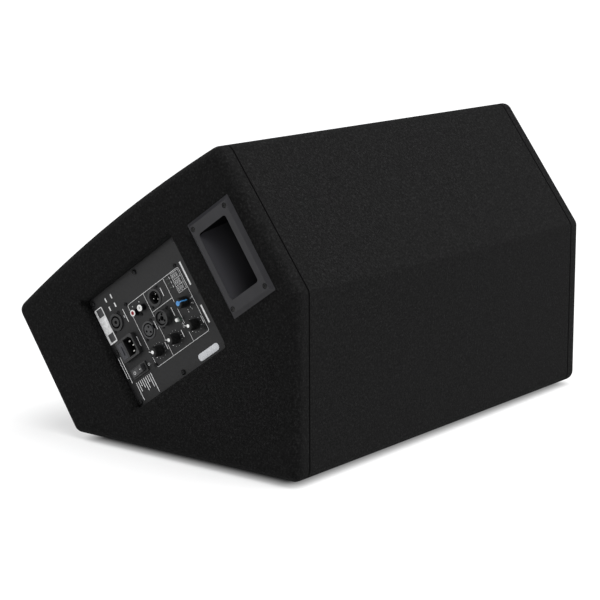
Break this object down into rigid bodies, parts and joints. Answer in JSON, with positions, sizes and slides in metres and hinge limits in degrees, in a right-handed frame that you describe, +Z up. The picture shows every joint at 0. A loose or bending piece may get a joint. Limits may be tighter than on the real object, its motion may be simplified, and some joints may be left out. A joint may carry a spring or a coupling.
{
  "type": "stage monitor wedge",
  "caption": "Powered stage monitor wedge: carpeted sloping cabinet with a curved front grille, side hand holes and a recessed amplifier plate with sockets, knobs and switch.",
  "frame": {"origin": "centre of the bounding box on the floor, under the rubber feet", "axes": "+X along the cabinet to the amplifier end, +Y to the upright rear face, +Z up; the curved front faces -Y and up"},
  "size_m": [0.6794, 0.4864, 0.4129],
  "materials": {
    "plywood": "matt",
    "carpet": "fine needle felt",
    "rubber": "matt",
    "screw_zinc": "zinc plated",
    "screw_black": "satin black",
    "grille_paint": "fine texture black",
    "foam": "open foam",
    "handle_plastic": "fine grain",
    "wadding": "loose fibre",
    "cast_frame": "satin black",
    "magnet": "painted ferrite",
    "black_plastic": "satin",
    "driver_case": "satin",
    "lead_jacket": "matt",
    "plate_paint": "satin powder coat",
    "chassis_steel": "zinc",
    "sink_aluminium": "anodised",
    "board": "solder mask",
    "winding": "lacquered wire",
    "capacitor_sleeve": "sleeve",
    "grey_plastic": "satin",
    "white_plastic": "smooth",
    "insulator_plastic": "white in one socket, red in the other",
    "black_nickel": "black nickel, bright turned face",
    "contact_metal": "nickel",
    "control_case": "satin",
    "lens": "clear dark",
    "paper_cone": "pulp",
    "spider_cloth": "resin cloth",
    "drawer_plastic": "satin",
    "fuse_glass": "glass and end caps",
    "blue_plastic": "satin with a blue pointer"
  },
  "bodies": {
    "cabinet": {"end_panel_right": "plywood", "end_panel_left": "plywood", "bottom_panel": "plywood", "rear_panel": "plywood", "upper_panel": "plywood", "nose_panel": "plywood", "baffle": "plywood", "battens": "plywood", "backing_frame": "plywood", "end_carpet_right": "carpet", "end_carpet_left": "carpet", "wrap_carpet": "carpet", "feet": "rubber", "foot_screws": "screw_zinc", "grille": "grille_paint", "grille_foam": "foam", "grille_screws": "screw_black", "handle_right": "handle_plastic", "handle_left": "handle_plastic", "handle_screws": "screw_black", "wadding": "wadding", "woofer_basket": "cast_frame", "woofer_magnet": "magnet", "woofer_screws": "screw_black", "surround": "rubber", "spider": "spider_cloth", "horn": "black_plastic", "compression_driver": "driver_case", "port_tubes": "black_plastic", "speaker_leads": "lead_jacket", "amp_plate": "plate_paint", "amp_chassis": "chassis_steel", "heat_sink": "sink_aluminium", "circuit_board": "board", "transformer": "winding", "capacitors": "capacitor_sleeve", "plate_screws": "screw_black", "line_output": "black_plastic", "combo_input": "black_plastic", "mic_input": "grey_plastic", "phono_sleeves": "black_nickel", "phono_insulators": "insulator_plastic", "socket_screws": "screw_black", "speaker_outlet": "black_plastic", "mains_inlet": "black_plastic", "contact_pins": "contact_metal", "switch_frame": "black_plastic", "control_bodies": "control_case", "indicator_leds": "lens"},
    "woofer_cone": {"woofer_cone": "paper_cone", "voice_coil": "winding"},
    "fuse_drawer": {"fuse_drawer": "drawer_plastic", "fuse": "fuse_glass"},
    "rocker": {"rocker": "black_plastic"},
    "push_button": {"push_button": "white_plastic"},
    "latch_tab": {"latch_tab": "contact_metal"},
    "selector_knob": {"selector_knob": "blue_plastic"},
    "master_knob": {"master_knob": "black_plastic"},
    "input_1_knob": {"input_1_knob": "black_plastic"},
    "input_2_knob": {"input_2_knob": "black_plastic"}
  },
  "joints": [
    {"name": "cone_travel", "type": "slide", "parent": "cabinet", "child": "woofer_cone", "axis": [0, -0.5656, 0.8247], "range_m": [-0.006, 0.006], "stiffness_N_per_m": 5000, "deforming": ["surround", "spider"]},
    {"name": "drawer_slide", "type": "slide", "parent": "cabinet", "child": "fuse_drawer", "axis": [1, 0, 0], "range_m": [0, 0.018]},
    {"name": "rocker_tilt", "type": "hinge", "parent": "cabinet", "child": "rocker", "pos_m": [0.3205, -0.02715, 0.10931], "axis": [0, 0.5656, -0.8247], "range_deg": [-16, 0]},
    {"name": "button_press", "type": "slide", "parent": "cabinet", "child": "push_button", "axis": [-1, 0, 0], "range_m": [0, 0.002], "stiffness_N_per_m": 300},
    {"name": "latch_press", "type": "slide", "parent": "cabinet", "child": "latch_tab", "axis": [-1, 0, 0], "range_m": [0, 0.0015], "stiffness_N_per_m": 300},
    {"name": "selector_turn", "type": "hinge", "parent": "cabinet", "child": "selector_knob", "pos_m": [0.3275, 0.05351, 0.21059], "axis": [-1, 0, 0], "range_deg": [0, 99]},
    {"name": "master_turn", "type": "hinge", "parent": "cabinet", "child": "master_knob", "pos_m": [0.3275, 0.0702, 0.18396], "axis": [-1, 0, 0], "range_deg": [0, 300]},
    {"name": "input_1_turn", "type": "hinge", "parent": "cabinet", "child": "input_1_knob", "pos_m": [0.3275, 0.03663, 0.16094], "axis": [-1, 0, 0], "range_deg": [0, 300]},
    {"name": "input_2_turn", "type": "hinge", "parent": "cabinet", "child": "input_2_knob", "pos_m": [0.3275, 0.00822, 0.14084], "axis": [-1, 0, 0], "range_deg": [0, 300]}
  ]
}
